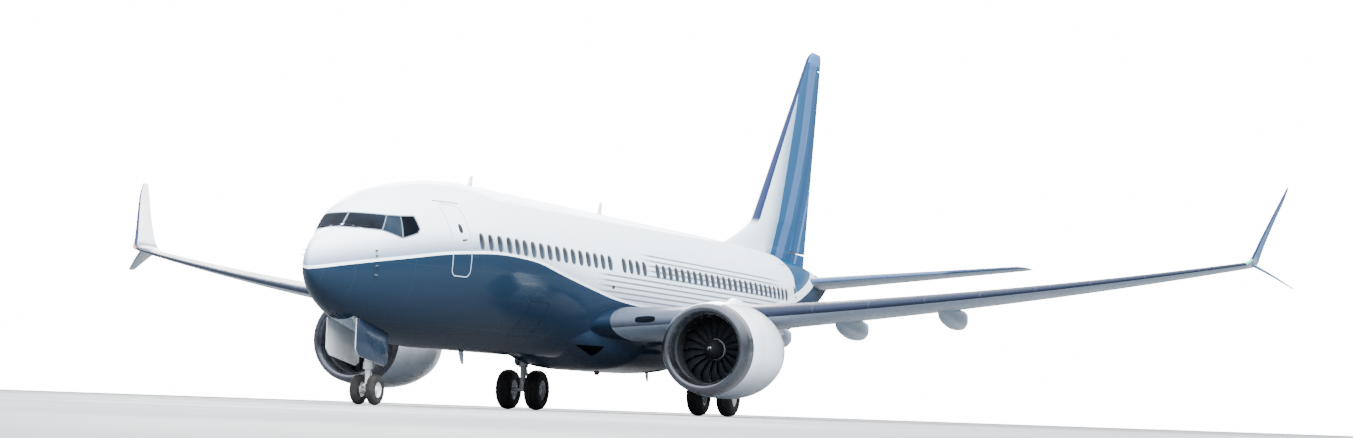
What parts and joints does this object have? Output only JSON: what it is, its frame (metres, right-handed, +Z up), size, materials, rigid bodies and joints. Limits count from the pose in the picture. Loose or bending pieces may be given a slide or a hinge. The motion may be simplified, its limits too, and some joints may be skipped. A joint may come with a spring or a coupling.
{
  "type": "twin-engined narrow-body airliner on its gear",
  "caption": "Low-wing airliner parked on its gear, with split winglets, under-wing fan engines, hinged control surfaces, steered nose wheels and rolling wheels.",
  "frame": {"origin": "on the ground, under the middle of the aircraft's length, on its centre line", "axes": "+Z up, -Y towards the nose, +X towards the port wing"},
  "size_m": [36.0952, 39.47, 12.55],
  "materials": {
    "white_paint": "gloss white polyurethane over aluminium",
    "radome_paint": "gloss blue paint on a composite radome",
    "tail_paint": "gloss blue paint",
    "grey_paint": "semi-gloss grey paint",
    "polished_lip": "polished bare skin",
    "fan_metal": "dark composite blades with metal edges",
    "nozzle_metal": "heat-tinted nozzle alloy",
    "gear_paint": "grey gear enamel",
    "tyre": "ribbed tyre rubber on a painted wheel",
    "window_glass": "dark cabin and flight deck glazing",
    "lamp_glass": "coloured lamp covers"
  },
  "bodies": {
    "airframe": {"antenna_belly": "white_paint", "antenna_front": "white_paint", "antenna_rear": "white_paint", "belly_beacon": "lamp_glass", "belly_fairing": "grey_paint", "drain_mast": "grey_paint", "engine_core_port": "nozzle_metal", "engine_core_starboard": "nozzle_metal", "fin": "tail_paint", "flap_fairing_1_port": "grey_paint", "flap_fairing_1_starboard": "grey_paint", "flap_fairing_2_port": "grey_paint", "flap_fairing_2_starboard": "grey_paint", "flap_fairing_3_port": "grey_paint", "flap_fairing_3_starboard": "grey_paint", "flap_inboard_port": "grey_paint", "flap_inboard_starboard": "grey_paint", "flap_outboard_port": "grey_paint", "flap_outboard_starboard": "grey_paint", "fuselage": "white_paint", "inlet_lip_port": "polished_lip", "inlet_lip_starboard": "polished_lip", "main_gear_door_port": "white_paint", "main_gear_door_starboard": "white_paint", "main_gear_leg_port": "gear_paint", "main_gear_leg_starboard": "gear_paint", "nacelle_port": "white_paint", "nacelle_starboard": "white_paint", "nose_gear_door_port": "white_paint", "nose_gear_door_starboard": "white_paint", "nose_gear_leg": "gear_paint", "pylon_port": "white_paint", "pylon_starboard": "white_paint", "radome": "radome_paint", "stabilizer_port": "grey_paint", "stabilizer_starboard": "grey_paint", "tail_cone": "white_paint", "wing_port": "grey_paint", "wing_starboard": "grey_paint", "winglet_port": "white_paint", "winglet_starboard": "white_paint"},
    "fan_port": {"fan_port": "fan_metal"},
    "fan_starboard": {"fan_starboard": "fan_metal"},
    "nose_steering": {"nose_gear_strut": "gear_paint"},
    "nose_wheels": {"nose_wheel_port": "tyre", "nose_wheel_starboard": "tyre"},
    "main_wheels_port": {"main_wheel_inner_port": "tyre", "main_wheel_outer_port": "tyre"},
    "main_wheels_starboard": {"main_wheel_inner_starboard": "tyre", "main_wheel_outer_starboard": "tyre"},
    "rudder": {"rudder": "tail_paint"},
    "elevator_port": {"elevator_port": "grey_paint"},
    "elevator_starboard": {"elevator_starboard": "grey_paint"},
    "aileron_port": {"aileron_port": "grey_paint"},
    "aileron_starboard": {"aileron_starboard": "grey_paint"}
  },
  "joints": [
    {"name": "fan_port_spin", "type": "hinge", "parent": "airframe", "child": "fan_port", "pos_m": [4.9, -6.985, 1.69], "axis": [0, 1, 0], "continuous": true},
    {"name": "fan_starboard_spin", "type": "hinge", "parent": "airframe", "child": "fan_starboard", "pos_m": [-4.9, -6.985, 1.69], "axis": [0, 1, 0], "continuous": true},
    {"name": "nose_steering", "type": "hinge", "parent": "airframe", "child": "nose_steering", "pos_m": [0, -16.655, 0.345], "axis": [0, 0, 1], "range_deg": [-78, 78]},
    {"name": "nose_wheels_roll", "type": "hinge", "parent": "nose_steering", "child": "nose_wheels", "pos_m": [0, -16.655, 0.345], "axis": [1, 0, 0], "continuous": true},
    {"name": "main_wheels_port_roll", "type": "hinge", "parent": "airframe", "child": "main_wheels_port", "pos_m": [2.86, -1.055, 0.565], "axis": [1, 0, 0], "continuous": true},
    {"name": "main_wheels_starboard_roll", "type": "hinge", "parent": "airframe", "child": "main_wheels_starboard", "pos_m": [-2.86, -1.055, 0.565], "axis": [1, 0, 0], "continuous": true},
    {"name": "rudder_turn", "type": "hinge", "parent": "airframe", "child": "rudder", "pos_m": [0, 15.46005, 8.75], "axis": [0, 0.3798, 0.9251], "range_deg": [-29, 29]},
    {"name": "elevator_port_tilt", "type": "hinge", "parent": "airframe", "child": "elevator_port", "pos_m": [4.175, 17.93087, 4.96368], "axis": [0.9071, 0.4031, 0.121], "range_deg": [-20, 25]},
    {"name": "elevator_starboard_tilt", "type": "hinge", "parent": "airframe", "child": "elevator_starboard", "pos_m": [-4.175, 17.93087, 4.96368], "axis": [-0.9071, 0.4031, 0.121], "range_deg": [-25, 20]},
    {"name": "aileron_port_tilt", "type": "hinge", "parent": "airframe", "child": "aileron_port", "pos_m": [14.125, 1.57869, 4.00579], "axis": [0.948, 0.2682, 0.1716], "range_deg": [-20, 20]},
    {"name": "aileron_starboard_tilt", "type": "hinge", "parent": "airframe", "child": "aileron_starboard", "pos_m": [-14.125, 1.57869, 4.00579], "axis": [-0.948, 0.2682, 0.1716], "range_deg": [-20, 20]}
  ]
}
